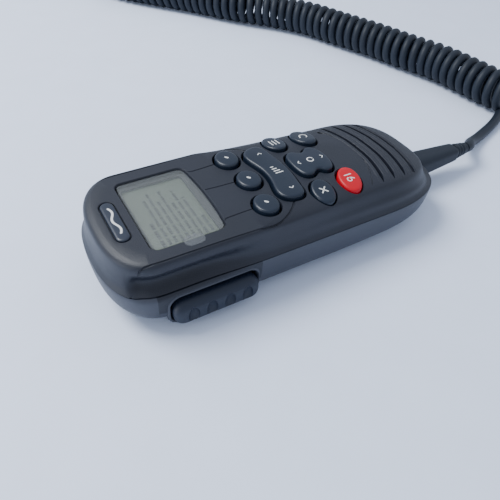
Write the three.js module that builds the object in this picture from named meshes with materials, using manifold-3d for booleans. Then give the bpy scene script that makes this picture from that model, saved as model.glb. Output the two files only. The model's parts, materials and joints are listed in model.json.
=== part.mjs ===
// Second-station hand microphone with display, keypad, push-to-talk key and curly cord.
// Millimetres. +X runs from the display end to the cord end, +Z points out of the face,
// and z = 0 is the flat of the back, which the handset lies on.
import * as THREE from "three";
import { mergeVertices } from "three/addons/utils/BufferGeometryUtils.js";
import Module from "manifold-3d";

const wasm = await Module();
wasm.setup();

// Driving dimensions
const HALF_WIDTH = 33;
const FRONT_END_X = -82;
const CORD_END_X = 93;
const FACE_Z = 36.2;
const PARTING_Z = 20.7;
const PARTING_GAP = 0.6;
const WALL = 2.2;
const RING_POINTS = 48;

const BADGE = { x: -69.3, length: 25, width: 5.6 };
const WINDOW = { x: -46.5, length: 31.4, width: 44.8, corner: 3 };
const BACK_LAND = { x: -4, length: 56, width: 34, corner: 4 };
const KEY_TOP_Z = 38;
const KEY_FOOT_Z = 30.8;
const KEY_CLEARANCE = 0.7;
const PTT = { x0: -60.4, x1: -21.6, z0: 4.2, z1: 15.6, outerY: -37.4, openTop: 17.8 };
const RELIEF_Z = 12.7;
const CORD_D = 6.2;
const COIL_D = 25;
const COIL_Z = COIL_D / 2 + 0.1;

const finish = (color, roughness, metalness = 0) =>
  new THREE.MeshStandardMaterial({ color, roughness, metalness });
const MATERIAL = {
  case: finish(0x343a49, 0.55),
  rear: finish(0x2e3442, 0.6),
  key: finish(0x232734, 0.45),
  redKey: finish(0xd91f2e, 0.4),
  ptt: finish(0x25334a, 0.65),
  rubber: finish(0x1b1f2a, 0.75),
  cord: finish(0x1f2430, 0.6),
  window: finish(0x9aa49c, 0.15),
  film: finish(0xc9d2d6, 0.1),
  lcd: finish(0x8a9388, 0.4),
  badge: finish(0x3a4150, 0.35),
  board: finish(0x1f5a3a, 0.5),
  steel: finish(0xb9bcc2, 0.3, 1),
  brass: finish(0xc9a24a, 0.3, 1),
  plastic: finish(0xd8d8d2, 0.5),
  paper: finish(0x2a2a2e, 0.9),
};

const root = new THREE.Group();
root.name = "hand_microphone";

// A closed three.js geometry as a solid that can be joined and cut.
function solid(geometry) {
  const bare = geometry.clone();
  bare.deleteAttribute("normal");
  bare.deleteAttribute("uv");
  const merged = mergeVertices(bare, 1e-4);
  return new wasm.Manifold(
    new wasm.Mesh({
      numProp: 3,
      vertProperties: merged.attributes.position.array,
      triVerts: new Uint32Array(merged.index.array),
    }),
  );
}

function geometryOf(body) {
  const mesh = body.getMesh();
  const geometry = new THREE.BufferGeometry();
  geometry.setAttribute(
    "position",
    new THREE.BufferAttribute(new Float32Array(mesh.vertProperties), 3),
  );
  geometry.setIndex(new THREE.BufferAttribute(new Uint32Array(mesh.triVerts), 1));
  const flat = geometry.toNonIndexed();
  flat.computeVertexNormals();
  return flat;
}

function add(name, body, material) {
  const geometry = body.isBufferGeometry ? body : geometryOf(body);
  const mesh = new THREE.Mesh(geometry, material);
  mesh.name = name;
  root.add(mesh);
  return mesh;
}

// Straight prism of a shape between two heights.
function prism(shape, z0, z1, segments = 12) {
  const geometry = new THREE.ExtrudeGeometry(shape, {
    depth: z1 - z0,
    bevelEnabled: false,
    curveSegments: segments,
  });
  return solid(geometry.translate(0, 0, z0));
}

// Prism whose upper edge is rounded; it stands on z0 and its top is at z1.
function domed(shape, z0, z1, round, segments = 12) {
  const geometry = new THREE.ExtrudeGeometry(shape, {
    depth: z1 - z0 - 2 * round,
    bevelEnabled: true,
    bevelThickness: round,
    bevelSize: round,
    bevelOffset: -round,
    bevelSegments: 2,
    curveSegments: segments,
  });
  return solid(geometry.translate(0, 0, z0 + round));
}

function block(x0, x1, y0, y1, z0, z1) {
  const geometry = new THREE.BoxGeometry(x1 - x0, y1 - y0, z1 - z0);
  return solid(geometry.translate((x0 + x1) / 2, (y0 + y1) / 2, (z0 + z1) / 2));
}

function roundedBox(cx, cy, length, width, corner) {
  const shape = new THREE.Shape();
  const hx = length / 2;
  const hy = width / 2;
  shape.moveTo(cx - hx + corner, cy - hy);
  shape.lineTo(cx + hx - corner, cy - hy);
  shape.absarc(cx + hx - corner, cy - hy + corner, corner, -Math.PI / 2, 0);
  shape.lineTo(cx + hx, cy + hy - corner);
  shape.absarc(cx + hx - corner, cy + hy - corner, corner, 0, Math.PI / 2);
  shape.lineTo(cx - hx + corner, cy + hy);
  shape.absarc(cx - hx + corner, cy + hy - corner, corner, Math.PI / 2, Math.PI);
  shape.lineTo(cx - hx, cy - hy + corner);
  shape.absarc(cx - hx + corner, cy - hy + corner, corner, Math.PI, 1.5 * Math.PI);
  return shape;
}

function ellipse(cx, cy, rx, ry, turn = 0) {
  const shape = new THREE.Shape();
  shape.absellipse(cx, cy, rx, ry, 0, 2 * Math.PI, false, turn);
  return shape;
}

// Turned solid along an axis: profile points are [distance along the axis, radius].
function turned(profile, origin, direction, segments = 20) {
  const points = profile.map(([along, radius]) => new THREE.Vector2(radius, along));
  const geometry = new THREE.LatheGeometry(points, segments);
  const turn = new THREE.Quaternion().setFromUnitVectors(
    new THREE.Vector3(0, 1, 0),
    new THREE.Vector3(...direction).normalize(),
  );
  geometry.applyQuaternion(turn).translate(...origin);
  return solid(geometry);
}

// ---- Case outline ----

// How each half draws in with its inset: `slope` times as much at the cord end, and only
// up to `edge`, where the flat begins. `side` is the width lost at the cord end, and
// `shoulder` what the flanks draw in further past an inset of 2, at the display end and
// at the cord end.
const FRONT_SHAPE = { edge: 6.4, slope: 2.9, side: 0, shoulder: [-0.7, 4] };
const REAR_SHAPE = { edge: 8, slope: 1.8, side: 0.9, shoulder: [0, 0] };
const PLAIN_SHAPE = { edge: 8, slope: 1, side: 0, shoulder: [0, 0] };
const DISPLAY_BEND = { x: -60, power: 2.5 };
const CORD_BEND = { x: 46, power: 2.95 };
// Stations along the straight flanks: x, and how far towards the cord end's shoulder.
const FLANK = [[10, 0.5], [-20, 0]];

function halfWidth(inset, shape, towardsCord) {
  const edge = Math.min(inset, shape.edge);
  const shoulder = shape.shoulder[0] * (1 - towardsCord) + shape.shoulder[1] * towardsCord;
  const flat = HALF_WIDTH - edge - shoulder * Math.max(0, edge - 2);
  return (flat * (HALF_WIDTH - Math.max(inset, shape.edge))) / (HALF_WIDTH - shape.edge);
}

function endReach(inset, shape, cord) {
  const edge = Math.min(inset, shape.edge);
  const flat = cord
    ? CORD_END_X - CORD_BEND.x - edge * shape.slope
    : DISPLAY_BEND.x - FRONT_END_X - edge;
  return (flat * (HALF_WIDTH - Math.max(inset, shape.edge))) / (HALF_WIDTH - shape.edge);
}

// A length taken in by the wall, but never through the middle.
const insideOf = (length, wall) => length - wall * Math.min(1, length / 8);

// Point of an end's curve at angle t.
function endPoint(t, inset, shape, wall) {
  const cord = Math.cos(t) >= 0;
  const bend = cord ? CORD_BEND : DISPLAY_BEND;
  const c2 = Math.cos(t) ** 2;
  const blunt = cord ? 1 : -1;
  const reach = insideOf(endReach(inset, shape, cord), wall);
  const tip = { ...shape, shoulder: [shape.shoulder[0] * (1 - c2), shape.shoulder[1]] };
  const half = halfWidth(inset, tip, cord ? 1 : 0) - (cord ? shape.side * Math.min(inset, 8) * c2 : 0);
  const x = bend.x + blunt * reach * Math.abs(Math.cos(t)) ** (2 / bend.power);
  const y = Math.sign(Math.sin(t)) * insideOf(half, wall) * Math.abs(Math.sin(t)) ** (2 / bend.power);
  return [x, y];
}

// The outline drawn in by `inset`, and by the wall, as points from the cord end round.
function outline(inset, shape, wall = 0) {
  const quarter = RING_POINTS / 4;
  const ends = ANGLES.map((t) => endPoint(t, inset, shape, wall));
  const flank = (sign) =>
    FLANK.map(([x, k]) => [x, sign * insideOf(halfWidth(inset, shape, k), wall)]);
  return [
    ...ends.slice(0, quarter),
    ...flank(1),
    ...ends.slice(quarter, 3 * quarter),
    ...flank(-1).reverse(),
    ...ends.slice(3 * quarter),
  ];
}

const outlineShape = (inset, shape) =>
  new THREE.Shape(outline(inset, shape).map(([x, y]) => new THREE.Vector2(x, y)));

// The face droops towards the cord end, and the back rises at both ends.
const faceZ = (x) => FACE_Z - 7.2 * (Math.max(0, x - 45) / 53) ** 1.8;
const backZ = (x) =>
  5 * (Math.max(0, x - 20) / 78) ** 1.6 + 6 * (Math.max(0, -50 - x) / 32) ** 1.6;

// Side profiles as [fraction of the way from the parting line, inset].
const FRONT_PROFILE = [
  [0, 0],
  [0.08, 0.7],
  [0.2, 1.5],
  [0.45, 2.2],
  [0.75, 2.6],
  [0.87, 3],
  [0.95, 4.2],
  [1, 6.4],
  [1, 13],
  [1, 21],
  [1, 29],
];
const REAR_PROFILE = [
  [0, 0.2],
  [0.12, 0],
  [0.5, 0.5],
  [0.68, 1.6],
  [0.82, 3.8],
  [0.93, 6.6],
  [1, 10],
  [1, 17],
  [1, 24],
  [1, 30],
];

// The walls' inner side needs fewer rings.
const coarse = (profile) => profile.filter(([f], i) => i % 2 === 0 || f === 1);

// Angles bunched so that the flanks, which are straight, take few points.
const ANGLES = Array.from({ length: RING_POINTS }, (_, i) => {
  const t = ((i + 0.5) / RING_POINTS) * 2 * Math.PI;
  return t - 0.22 * Math.sin(2 * t);
});

// Stack of rings closed by a strip across each end: a half of the case as a solid,
// drawn in by `wall` all round.
function caseHalf(profile, shape, startZ, endZ, wall) {
  const rings = profile.map(([f, inset]) =>
    outline(inset, shape, wall).map(([x, y]) => [x, y, startZ + f * (endZ(x) - startZ)]),
  );
  const n = rings[0].length;
  const positions = rings.flat(2);
  const index = [];
  for (let r = 0; r + 1 < rings.length; r++) {
    for (let i = 0; i < n; i++) {
      const a = r * n + i;
      const b = r * n + ((i + 1) % n);
      index.push(a, b, b + n, a, b + n, a + n);
    }
  }
  const cap = (first, up) => {
    for (let i = 0; i < n / 2 - 1; i++) {
      const [a, b, c, d] = [i, i + 1, n - 2 - i, n - 1 - i].map((k) => first + k);
      if (up) index.push(a, b, c, a, c, d);
      else index.push(a, c, b, a, d, c);
    }
  };
  cap(0, false);
  cap((rings.length - 1) * n, true);
  const geometry = new THREE.BufferGeometry();
  geometry.setAttribute("position", new THREE.Float32BufferAttribute(positions, 3));
  geometry.setIndex(endZ(0) > startZ ? index : index.reverse());
  return solid(geometry);
}

// ---- Keys: outlines in plan ----

function dogBone() {
  const shape = new THREE.Shape();
  shape.moveTo(11.8, 0);
  shape.bezierCurveTo(11.8, 6, 11, 9, 10.4, 13);
  shape.bezierCurveTo(10, 18, 9, 20.6, 5.6, 20.9);
  shape.bezierCurveTo(0.6, 21, -1.8, 18, -1.9, 14.6);
  shape.bezierCurveTo(-2, 10, 0.5, 7, 0.5, 0);
  shape.bezierCurveTo(0.5, -7, -2, -10, -1.9, -14.2);
  shape.bezierCurveTo(-1.8, -17.6, 0.6, -20.4, 5.6, -20.3);
  shape.bezierCurveTo(9, -20, 10, -18, 10.4, -13);
  shape.bezierCurveTo(11, -9, 11.8, -6, 11.8, 0);
  return shape;
}

function hourglass() {
  const shape = new THREE.Shape();
  shape.moveTo(14.8, 0);
  shape.bezierCurveTo(14.8, 5, 15.5, 9.2, 19, 9.5);
  shape.bezierCurveTo(21.6, 9.6, 22.4, 7.3, 24.4, 7.3);
  shape.bezierCurveTo(26.2, 7.3, 26.4, 9.8, 29, 9.8);
  shape.bezierCurveTo(32.4, 9.6, 33.9, 5, 33.9, 0);
  shape.bezierCurveTo(33.9, -5, 32.4, -9.6, 29, -9.8);
  shape.bezierCurveTo(26.4, -9.8, 26.2, -7.3, 24.4, -7.3);
  shape.bezierCurveTo(22.4, -7.3, 21.6, -9.6, 19, -9.5);
  shape.bezierCurveTo(15.5, -9.2, 14.8, -5, 14.8, 0);
  return shape;
}

// Round keys: [name, x, y, x radius, y radius, turn, material].
const ROUND_KEYS = [
  ["soft_key_right", -9.8, -17.9, 5.4, 6.4, 0, MATERIAL.key],
  ["soft_key_centre", -8.1, 0, 5.4, 6.4, 0, MATERIAL.key],
  ["soft_key_left", -9.8, 17.9, 5.4, 6.4, 0, MATERIAL.key],
  ["menu_key", 17.8, 21, 5.2, 7.2, 0.12, MATERIAL.key],
  ["clear_key", 17.8, -20.6, 5.2, 7.2, -0.12, MATERIAL.key],
  ["scan_key", 33.7, 19.4, 5.2, 7.7, 0.2, MATERIAL.key],
  ["red_key", 33.7, -18.8, 5.2, 7.7, -0.2, MATERIAL.redKey],
];

// ---- Covers ----

const SCREWS = [
  [-70, 17],
  [-70, -17],
  [58, 22],
  [58, -22],
];
const SPEAKER = { x: 62 };
const MIC_PORT = { x: 44.4, y: 19.2 };
const SLOT_RADIUS = 73;
const SLOTS_X = [53.3, 59.4, 66.4];

// Arc-shaped slot across the face, bulging towards the cord end.
function slotShape(x, width, halfSpan) {
  const reach = Math.asin(halfSpan / SLOT_RADIUS);
  const shape = new THREE.Shape();
  const centre = x - SLOT_RADIUS;
  shape.absarc(centre, 0, SLOT_RADIUS + width / 2, -reach, reach, false);
  shape.absarc(centre, 0, SLOT_RADIUS - width / 2, reach, -reach, true);
  return shape;
}

function pole(x, y, z0, z1, radius, segments = 14) {
  return turned([[0, 0], [0, radius], [z1 - z0, radius], [z1 - z0, 0]], [x, y, z0],
    [0, 0, 1], segments);
}

const frontStart = PARTING_Z + PARTING_GAP / 2;
const rearStart = PARTING_Z - PARTING_GAP / 2;
const lowered = (f, by) => (x) => f(x) + by;

const pttPocket = block(PTT.x0 - 3, PTT.x1 + 3, -60, -27, -10, 22.5);

const frontBlank = caseHalf(FRONT_PROFILE, FRONT_SHAPE, frontStart, faceZ, 0);
let front = frontBlank.subtract(
  caseHalf(coarse(FRONT_PROFILE), FRONT_SHAPE, frontStart - 1, lowered(faceZ, -WALL), WALL),
);
for (const [x, y] of SCREWS) {
  front = front.add(pole(x, y, frontStart, 34.5, 3.2).intersect(frontBlank));
}
for (const [x, y] of SCREWS) front = front.subtract(pole(x, y, 0, 30, 1.5));
front = front.subtract(
  prism(roundedBox(WINDOW.x, 0, WINDOW.length, WINDOW.width, WINDOW.corner), 30, 40, 6),
);
front = front.subtract(
  prism(roundedBox(BADGE.x, 0, BADGE.width + 0.8, BADGE.length + 0.8, 3.1), 35.2, 40, 6),
);
for (const [, x, y, rx, ry, turn] of ROUND_KEYS) {
  const hole = ellipse(x, y, rx + KEY_CLEARANCE, ry + KEY_CLEARANCE, turn);
  front = front.subtract(prism(hole, 30, 40, 11));
}
for (const shape of [dogBone(), hourglass()]) {
  const hole = new THREE.ExtrudeGeometry(shape, {
    depth: 10,
    bevelEnabled: true,
    bevelThickness: 0.01,
    bevelSize: KEY_CLEARANCE,
    bevelSegments: 1,
    curveSegments: 4,
  });
  front = front.subtract(solid(hole.translate(0, 0, 30)));
}
for (const x of SLOTS_X) front = front.subtract(prism(slotShape(x, 2.2, 26), 25, 40, 6));
const shallowX = 71.6;
front = front.subtract(prism(slotShape(shallowX, 2, 25), faceZ(shallowX) - 1, 40, 6));
front = front.subtract(pole(MIC_PORT.x, MIC_PORT.y, 30, 40, 0.8, 10));
front = front.subtract(pttPocket);
front = front.subtract(block(86, 120, -7.6, 7.6, 0, 21.4));
add("front_cover", front, MATERIAL.case);

const rearBlank = caseHalf(REAR_PROFILE, REAR_SHAPE, rearStart, backZ, 0);
let rear = rearBlank.subtract(
  caseHalf(coarse(REAR_PROFILE), REAR_SHAPE, rearStart + 1, lowered(backZ, WALL), WALL),
);
rear = rear.add(block(88, 92, -10.5, 10.5, 4.9, rearStart - 0.3));
for (const [x, y] of SCREWS) {
  rear = rear.add(pole(x, y, backZ(x) + 0.5, 19.5, 4.6).intersect(rearBlank));
}
for (const [x, y] of SCREWS) {
  rear = rear.subtract(pole(x, y, -5, 30, 1.8));
  rear = rear.subtract(pole(x, y, -5, backZ(x) + 4, 3.2));
}
rear = rear.subtract(pttPocket);
// The flat land on the back that the handset rests on.
rear = rear.add(
  prism(roundedBox(BACK_LAND.x, 0, BACK_LAND.length, BACK_LAND.width, BACK_LAND.corner), 0, 2, 6),
);
rear = rear.subtract(block(76, 120, -7.6, 7.6, 6.4, 19.1));
const STUD_X = 46;
rear = rear.add(pole(STUD_X, 0, backZ(STUD_X) + 1.2, 7, 12.8, 24));
rear = rear.subtract(pole(STUD_X, 0, -5, 4.6, 11, 24));
rear = rear.subtract(pole(STUD_X, 0, -5, 20, 1.8));
add("rear_cover", rear, MATERIAL.rear);

const band = (inset0, inset1, z0, z1) =>
  prism(outlineShape(inset0, REAR_SHAPE), z0, z1).subtract(
    prism(outlineShape(inset1, REAR_SHAPE), z0 - 1, z1 + 1),
  );
const seal = band(4.4, 5.6, 20.4, 21.8).subtract(pttPocket);
add("perimeter_seal", seal, MATERIAL.rubber);

// ---- Display ----

const windowPlate = prism(
  roundedBox(WINDOW.x, 0, WINDOW.length - 0.6, WINDOW.width - 0.6, 2.7), 33.9, 35.2, 6,
);
add("display_window", windowPlate, MATERIAL.window);

const FILM_Z = 35.5;
const film = prism(roundedBox(WINDOW.x, 0, 29.8, 43.8, 2.6), FILM_Z, FILM_Z + 0.2, 3)
  .add(block(-49, -42, -22.05, -21.8, FILM_Z, 36.7))
  .add(prism(roundedBox(-45.5, -24.5, 7, 5.3, 2.4), 36.5, 36.7, 6));
add("window_film", film, MATERIAL.film);

const gasket = prism(roundedBox(WINDOW.x, 0, 34.5, 47.5, 3.5), 32.6, 33.6, 3).subtract(
  prism(roundedBox(WINDOW.x, 0, 28, 41, 2), 30, 36, 3),
);
add("window_gasket", gasket, MATERIAL.rubber);
add("lcd_panel", block(-62.2, -30.8, -22, 22, 30.4, 32.3), MATERIAL.lcd);
const lightGuide = block(-62.6, -30.4, -22.4, 22.4, 27.3, 30.1);
add("lcd_light_guide", lightGuide, MATERIAL.plastic);
const badge = domed(roundedBox(BADGE.x, 0, BADGE.width, BADGE.length, 2.7), 35.5, 36.5, 0.25, 3);
add("badge", badge, MATERIAL.badge);

// ---- Keypad ----

const mat = prism(roundedBox(11, 0, 56, 53, 6), 27.6, 28.8, 4);
add("keypad_mat", mat, MATERIAL.rubber);

// A key stands in its hole, with a wider foot under the face that keeps it in.
for (const [name, x, y, rx, ry, turn, material] of ROUND_KEYS) {
  const foot = prism(ellipse(x, y, rx + 1.3, ry + 1.3, turn), KEY_FOOT_Z, KEY_FOOT_Z + 1, 9)
    .intersect(block(-40, 60, -21.8, 21.8, 29, 40));
  const stem = prism(ellipse(x, y, 2, 2), 29.8, KEY_FOOT_Z + 0.5, 6);
  const cap = domed(ellipse(x, y, rx, ry, turn), KEY_FOOT_Z + 0.5, KEY_TOP_Z, 0.8, 10);
  add(name, cap.add(foot).add(stem), material);
}
const volumePivot = turned([[0, 0], [0, 1.2], [14.1, 1.2], [14.1, 0]], [-0.9, 0, 31.4], [1, 0, 0], 12);
const volume = domed(dogBone(), 31.6, KEY_TOP_Z + 0.1, 0.8, 4).add(volumePivot);
add("volume_rocker", volume, MATERIAL.key);
const channelPivot = turned([[0, 0], [0, 1.2], [19.2, 1.2], [19.2, 0]], [24.4, -9.6, 31.4],
  [0, 1, 0], 12);
const channel = domed(hourglass(), 31.6, KEY_TOP_Z + 0.1, 0.8, 4).add(channelPivot);
add("channel_rocker", channel, MATERIAL.key);

// ---- Electronics ----

let board = prism(
  outlineShape(7, PLAIN_SHAPE), 24.6, 26.2,
);
for (const [x, y] of SCREWS) board = board.subtract(pole(x, y, 0, 40, 3.6));
board = board.subtract(pttPocket).subtract(block(41, 120, -40, 40, 0, 40));
add("main_board", board, MATERIAL.board);
add("board_shield", block(-20, 20, -15, 15, 20, 24.3), MATERIAL.steel);
const connector = block(28, 38, -6, 6, 20.3, 24.3).subtract(block(30, 36, -4.5, 4.5, 19, 22.5));
add("board_connector", connector, MATERIAL.plastic);

const speakerTop = 28.4;
const basket = turned(
  [[0, 10], [0, 13], [7, 15.6], [7, 17.6], [8.4, 17.6], [8.4, 14.6], [2, 11], [2, 10], [0, 10]],
  [SPEAKER.x, 0, speakerTop - 8.4], [0, 0, 1], 28,
);
add("speaker_basket", basket, MATERIAL.steel);
const cone = turned([[0, 0], [0, 7], [4.4, 13.4], [5.2, 13.4], [1, 6.6], [1, 0]],
  [SPEAKER.x, 0, speakerTop - 5.6], [0, 0, 1], 28);
add("speaker_cone", cone, MATERIAL.paper);
const magnet = turned([[0, 0], [0, 9.6], [4.4, 9.6], [4.4, 0]], [SPEAKER.x, 0, 18], [0, 0, 1], 24);
add("speaker_magnet", magnet, MATERIAL.steel);
const cloth = turned([[0, 0], [0, 17.4], [0.5, 17.4], [0.5, 0]], [SPEAKER.x, 0, 29], [0, 0, 1], 28);
add("grille_cloth", cloth, MATERIAL.paper);


add("microphone_capsule", pole(MIC_PORT.x + 1, MIC_PORT.y, 26.2, 30, 3, 16), MATERIAL.steel);
const boot = pole(MIC_PORT.x + 1, MIC_PORT.y, 26.6, 31.4, 4.4, 16)
  .subtract(pole(MIC_PORT.x + 1, MIC_PORT.y, 26, 30.3, 3.3, 16))
  .subtract(pole(MIC_PORT.x, MIC_PORT.y, 26, 40, 0.9, 10));
add("microphone_boot", boot, MATERIAL.rubber);

// ---- Push-to-talk key ----

// The pad's outline in x and z, grown by a margin, with its top raised to `top`.
function pttShape(margin, top = PTT.z1 + margin) {
  const bottom = PTT.z0 - margin;
  return roundedBox(
    (PTT.x0 + PTT.x1) / 2,
    (bottom + top) / 2,
    PTT.x1 - PTT.x0 + 2 * margin,
    top - bottom,
    Math.min(6, 4.6 + margin),
  );
}

// Prism of a shape drawn in x and z, between two stations along y.
function sideways(shape, y0, y1) {
  return prism(shape, -y1, -y0, 6).rotate([90, 0, 0]);
}

const caseBlank = rearBlank.add(frontBlank)
  .add(prism(outlineShape(0.2, PLAIN_SHAPE), rearStart - 0.1, frontStart + 0.1));
const bezel = caseBlank
  .intersect(block(PTT.x0 - 2.7, PTT.x1 + 2.7, -60, -27.3, -10, 22.2))
  .add(sideways(pttShape(2, PTT.openTop + 1.8), -33.6, -27.3))
  .subtract(sideways(pttShape(0.5, PTT.openTop), -60, -20));
add("ptt_bezel", bezel, MATERIAL.rear);

// The pad has four grooves across it for the finger, and a foot inside the bezel.
let pad = domed(pttShape(0), 25.2, -PTT.outerY, 2.6, 4).rotate([90, 0, 0]);
pad = pad.subtract(block(-80, 0, -29.4, -20, 0, 7));
for (let i = 0; i < 4; i++) {
  const x = PTT.x0 + 7 + i * 8.2;
  pad = pad.subtract(pole(x, PTT.outerY - 3.4, 0, 24, 4.6, 20));
}
pad = pad.add(
  sideways(pttShape(1.4, PTT.openTop + 1.2), -26.6, -25.2).intersect(block(-80, 0, -30, -20, 7, 30)),
);
add("ptt_button", pad, MATERIAL.ptt);
const plunger = turned([[0, 0], [0, 2], [2.4, 2], [2.4, 0]], [-41, -24.9, 11.6], [0, 1, 0], 12);
add("ptt_plunger", plunger, MATERIAL.plastic);
add("ptt_switch", block(-46, -36, -20.1, -14, 8, 15.2), MATERIAL.rubber);

// ---- Fasteners ----

SCREWS.forEach(([x, y], i) => {
  const z = backZ(x) + 1.3;
  const profile = [[0, 0], [0, 2.8], [1.8, 2.8], [2.4, 1.3], [29.4 - z, 1.2], [29.4 - z, 0]];
  add("case_screw_" + (i + 1), turned(profile, [x, y, z], [0, 0, 1], 14), MATERIAL.steel);
});
const stud = turned(
  [[0, 1.8], [0, 8], [1.6, 8], [1.8, 5], [3.7, 5], [3.7, 1.8], [0, 1.8]],
  [STUD_X, 0, 0.6], [0, 0, 1], 24,
);
add("hang_stud", stud, MATERIAL.plastic);
const studScrew = turned(
  [[0, 0], [0, 1.5], [9, 1.5], [9, 0]], [STUD_X, 0, 0.9], [0, 0, 1], 12,
);
add("stud_screw", studScrew, MATERIAL.steel);

// ---- Strain relief ----

// Rounded-rectangle section across the x axis: half sizes a and b about the cord's axis.
function reliefSection(x, a, b) {
  return Array.from({ length: 24 }, (_, i) => {
    const t = (i / 24) * 2 * Math.PI;
    const y = a * Math.sign(Math.cos(t)) * Math.abs(Math.cos(t)) ** 0.6;
    const z = b * Math.sign(Math.sin(t)) * Math.abs(Math.sin(t)) ** 0.6;
    return [x, y, RELIEF_Z + z];
  });
}

// Stack of equal-count sections, closed by a fan at each end.
function lofted(sections) {
  const n = sections[0].length;
  const positions = sections.flat(2);
  const index = [];
  for (let r = 0; r + 1 < sections.length; r++) {
    for (let i = 0; i < n; i++) {
      const a = r * n + i;
      const b = r * n + ((i + 1) % n);
      index.push(a, b, b + n, a, b + n, a + n);
    }
  }
  const last = (sections.length - 1) * n;
  for (let i = 1; i + 1 < n; i++) {
    index.push(0, i + 1, i, last, last + i, last + i + 1);
  }
  const geometry = new THREE.BufferGeometry();
  geometry.setAttribute("position", new THREE.Float32BufferAttribute(positions, 3));
  geometry.setIndex(index);
  return solid(geometry);
}

const RELIEF_SECTIONS = [
  [87.7, 7.3, 6],
  [97, 7.2, 5.9],
  [104, 6.8, 5.6],
  [116, 5.9, 5],
  [128.4, 5, 4.4],
  [129.6, 4.2, 3.7],
];
const relief = lofted(RELIEF_SECTIONS.map(([x, a, b]) => reliefSection(x, a, b)))
  .add(lofted([reliefSection(85, 8.5, 6), reliefSection(87.7, 8.5, 6)])
      .intersect(block(80, 90, -20, 20, 12.7, 30)))
  .add(turned([[0, 0], [0, 3.1], [12, 3.1], [12, 0]], [75, 0, RELIEF_Z], [1, 0, 0], 12));
add("strain_relief", relief, MATERIAL.rubber);
const clamp = turned([[0, 3.5], [0, 6], [3.4, 6], [3.4, 3.5], [0, 3.5]],
  [79, 0, RELIEF_Z], [1, 0, 0], 16);
add("cord_clamp", clamp, MATERIAL.steel);

const collarProfile = [[0, 0], [0, 4.4], [1, 4.4]];
for (let i = 0; i < 3; i++) {
  const x = 1 + i * 2.7;
  const r = 4.4 - i * 0.2;
  collarProfile.push([x + 0.3, r - 0.7], [x + 1.1, r - 0.7], [x + 1.4, r - 0.1], [x + 2.7, r - 0.2]);
}
collarProfile.push([9.4, 3.3], [9.4, 0]);
const collar = turned(collarProfile, [129.9, 0, RELIEF_Z], [1, 0, 0], 20);
add("relief_collar", collar, MATERIAL.rubber);

// ---- Cord ----

// Tube of a diameter along hand-chosen points.
function tube(points, diameter, sides, steps) {
  const section = new THREE.Shape(
    Array.from({ length: sides }, (_, i) => {
      const t = (i / sides) * 2 * Math.PI;
      return new THREE.Vector2((diameter / 2) * Math.cos(t), (diameter / 2) * Math.sin(t));
    }),
  );
  const path = new THREE.CatmullRomCurve3(points.map((p) => new THREE.Vector3(...p)));
  return solid(new THREE.ExtrudeGeometry(section, { steps, extrudePath: path }));
}

const LEAD_ROUTE = [
  [139.9, 0, 12.7],
  [143.5, 0.6, 12.3],
  [148.5, 3.3, 10.6],
  [153.5, 6.8, 8.3],
  [159, 9.5, 6.2],
  [165, 11.8, 4.7],
  [171, 13.9, 3.8],
  [177, 16, 3.4],
  [183, 18, 3.2],
  [189, 20, 3.2],
  [195, 22.3, 3.2],
  [201, 24.9, 3.2],
  [206.5, 27.6, 3.2],
  [211.6, 30.2, 3.2],
  [215.5, 31.6, 3.2],
  [219.5, 32, 3.2],
];
add("lead_cord", tube(LEAD_ROUTE, CORD_D, 10, 20), MATERIAL.cord);

const COIL_ROUTE = [
  [219.2, 35.6],
  [216.8, 47],
  [215.3, 63.5],
  [211.5, 92.6],
  [202.2, 119.3],
  [192.8, 148.3],
  [180.9, 177.1],
  [168, 207.4],
  [149.5, 232.2],
  [128.2, 253.5],
  [97.8, 292.4],
  [71.1, 322.4],
  [52, 347],
  [42, 373],
  [48, 398],
  [69, 414],
  [96, 417],
];
const coil = tube(COIL_ROUTE.map(([x, y]) => [x, y, COIL_Z]), COIL_D, 10, 42);
add("curly_cord", coil, MATERIAL.cord);

const TAIL_ROUTE = [
  [96.6, 417, 3.2],
  [104, 417, 3.2],
  [112, 416.6, 3.2],
  [120, 415.8, 3.2],
  [128, 414.6, 3.2],
  [136, 413, 3.2],
  [144, 411.2, 3.3],
  [151, 409.6, 4],
  [158, 408.2, 5.3],
  [165, 407, 7.2],
  [171, 406.3, 8.9],
  [177, 406, 10.1],
  [184, 406, 10.5],
];
add("tail_cord", tube(TAIL_ROUTE, CORD_D, 10, 20), MATERIAL.cord);

// ---- Plug ----

const PLUG = [184.3, 406, 10.5];
const plugBody = turned(
  [[0, 0], [0, 4.6], [12, 6.4], [13, 9.2], [30, 9.2], [30.6, 8.6], [30.6, 7.4],
    [44, 7.4], [44, 6.2], [38, 6.2], [38, 0]],
  PLUG, [1, 0, 0], 24,
);
add("plug_body", plugBody, MATERIAL.rubber);
const plugRing = turned(
  [[31, 7.8], [31, 10.2], [42.4, 10.2], [43, 9.6], [43, 7.8], [31, 7.8]], PLUG, [1, 0, 0], 24,
);
add("plug_ring", plugRing, MATERIAL.steel);
let contacts = turned([[38.3, 0], [38.3, 5.9], [39.3, 5.9], [39.3, 0]], PLUG, [1, 0, 0], 20);
for (let i = 0; i < 8; i++) {
  const t = (i / 8) * 2 * Math.PI;
  const [y, z] = [PLUG[1] + 3.8 * Math.cos(t), PLUG[2] + 3.8 * Math.sin(t)];
  const pin = turned([[0, 0], [0, 0.5], [4, 0.5], [4, 0]], [PLUG[0] + 39, y, z], [1, 0, 0], 8);
  contacts = contacts.add(pin);
}
add("plug_contacts", contacts, MATERIAL.brass);

export default root;
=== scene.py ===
"""Looks of a second-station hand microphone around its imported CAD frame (metres, +Z up).

+X runs from the display end to the cord end, the face looks along +Z and the
push-to-talk pad is on the -Y side.
"""

import json
import math

import bmesh
import bpy
from mathutils import Matrix, Vector

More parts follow.
